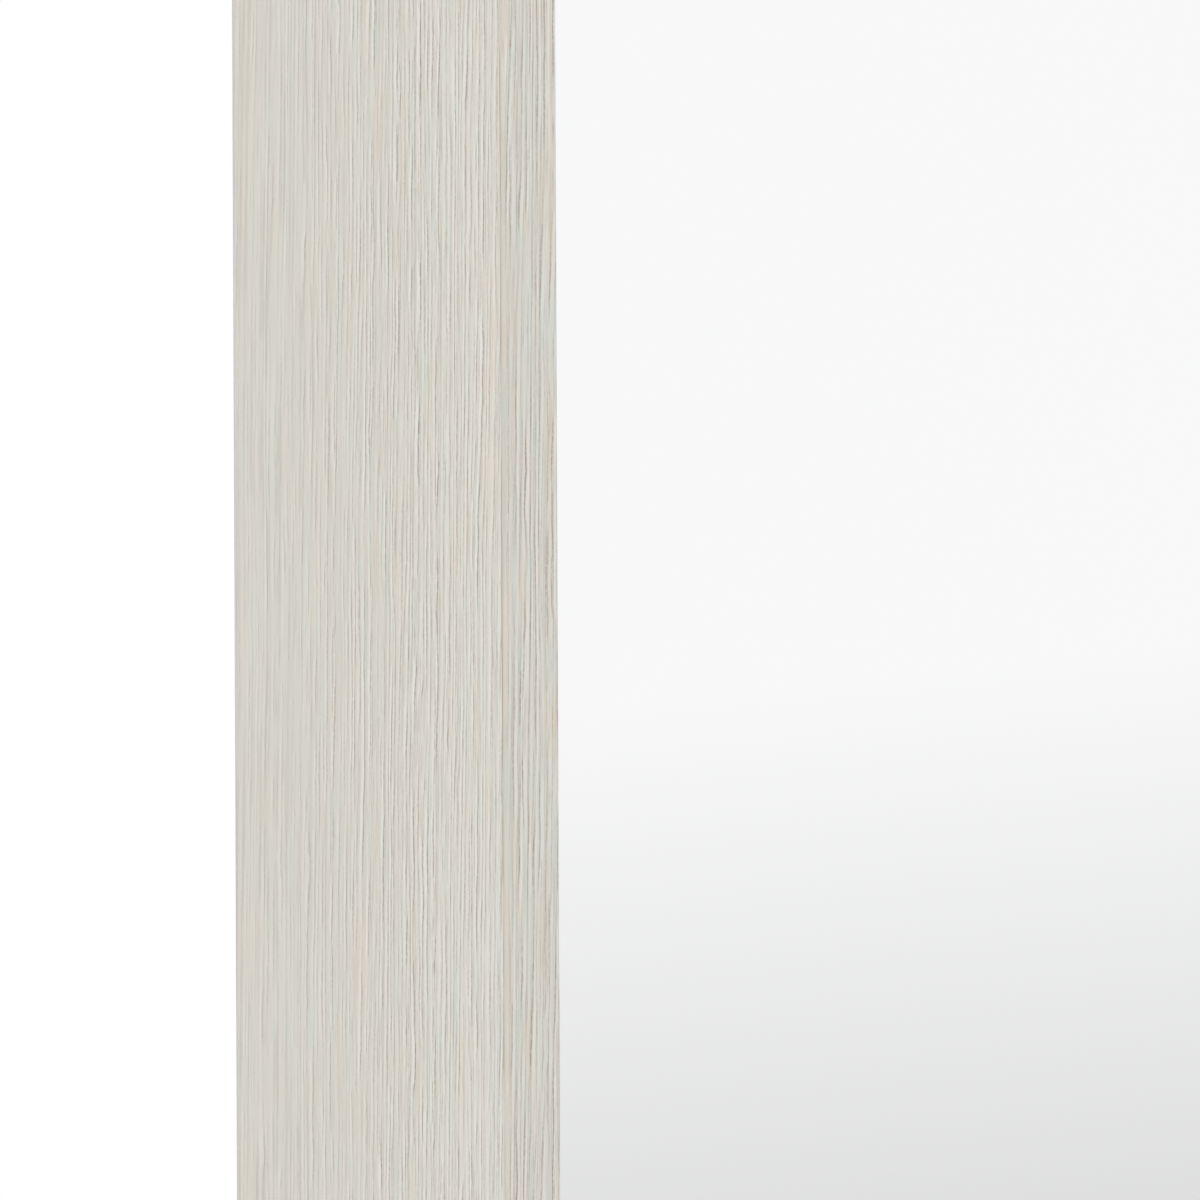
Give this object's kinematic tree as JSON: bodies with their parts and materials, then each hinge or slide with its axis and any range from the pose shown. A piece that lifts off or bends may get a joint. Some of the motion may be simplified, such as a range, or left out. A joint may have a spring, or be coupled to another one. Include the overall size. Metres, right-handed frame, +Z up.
{
  "type": "leaning floor mirror",
  "caption": "Tall floor mirror in a deep, slim-edged box frame of whitewashed oak, with a braced open back and swinging hanger rings; it stands on the floor and leans on a wall.",
  "frame": {"origin": "middle of the footprint at floor level", "axes": "+X to the right seen from the front, +Y from the mirror face to the back, +Z up"},
  "size_m": [0.762, 0.067, 1.832],
  "materials": {
    "whitewashed_oak": "matt whitewash over straight-grained oak",
    "oak_edge_band": "matt whitewash over oak edge band",
    "softwood": "planed and unfinished",
    "plywood": "unfinished",
    "mirror": "silvered float glass",
    "backing_film": "woven safety film",
    "foam_tape": "closed-cell foam",
    "black_rubber": "matt",
    "fibreboard": "bare fibreboard",
    "zinc_steel": "bright zinc plate"
  },
  "bodies": {
    "frame": {"backing_board": "fibreboard", "batten_screws": "zinc_steel", "bottom_batten": "softwood", "bottom_edge_band": "oak_edge_band", "bottom_left_bracket": "zinc_steel", "bottom_rail": "whitewashed_oak", "bottom_right_bracket": "zinc_steel", "brace_screws": "zinc_steel", "bracket_screws": "zinc_steel", "glazing_tape": "foam_tape", "hanger_screws": "zinc_steel", "left_batten": "softwood", "left_edge_band": "oak_edge_band", "left_floor_pad": "black_rubber", "left_hanger_plate": "zinc_steel", "left_stile": "whitewashed_oak", "left_wall_bumper": "black_rubber", "lower_brace": "softwood", "mirror_glass": "mirror", "mitre_splines": "plywood", "right_batten": "softwood", "right_edge_band": "oak_edge_band", "right_floor_pad": "black_rubber", "right_hanger_plate": "zinc_steel", "right_stile": "whitewashed_oak", "right_wall_bumper": "black_rubber", "safety_film": "backing_film", "setting_blocks": "black_rubber", "top_batten": "softwood", "top_edge_band": "oak_edge_band", "top_left_bracket": "zinc_steel", "top_rail": "whitewashed_oak", "top_right_bracket": "zinc_steel", "upper_brace": "softwood"},
    "left_ring": {"left_hanger_ring": "zinc_steel"},
    "right_ring": {"right_hanger_ring": "zinc_steel"}
  },
  "joints": [
    {"name": "left_ring_swing", "type": "hinge", "parent": "frame", "child": "left_ring", "pos_m": [-0.21, 0.02408, 1.429], "axis": [-1, 0, 0], "range_deg": [0, 175]},
    {"name": "right_ring_swing", "type": "hinge", "parent": "frame", "child": "right_ring", "pos_m": [0.21, 0.02408, 1.429], "axis": [-1, 0, 0], "range_deg": [0, 175]}
  ]
}
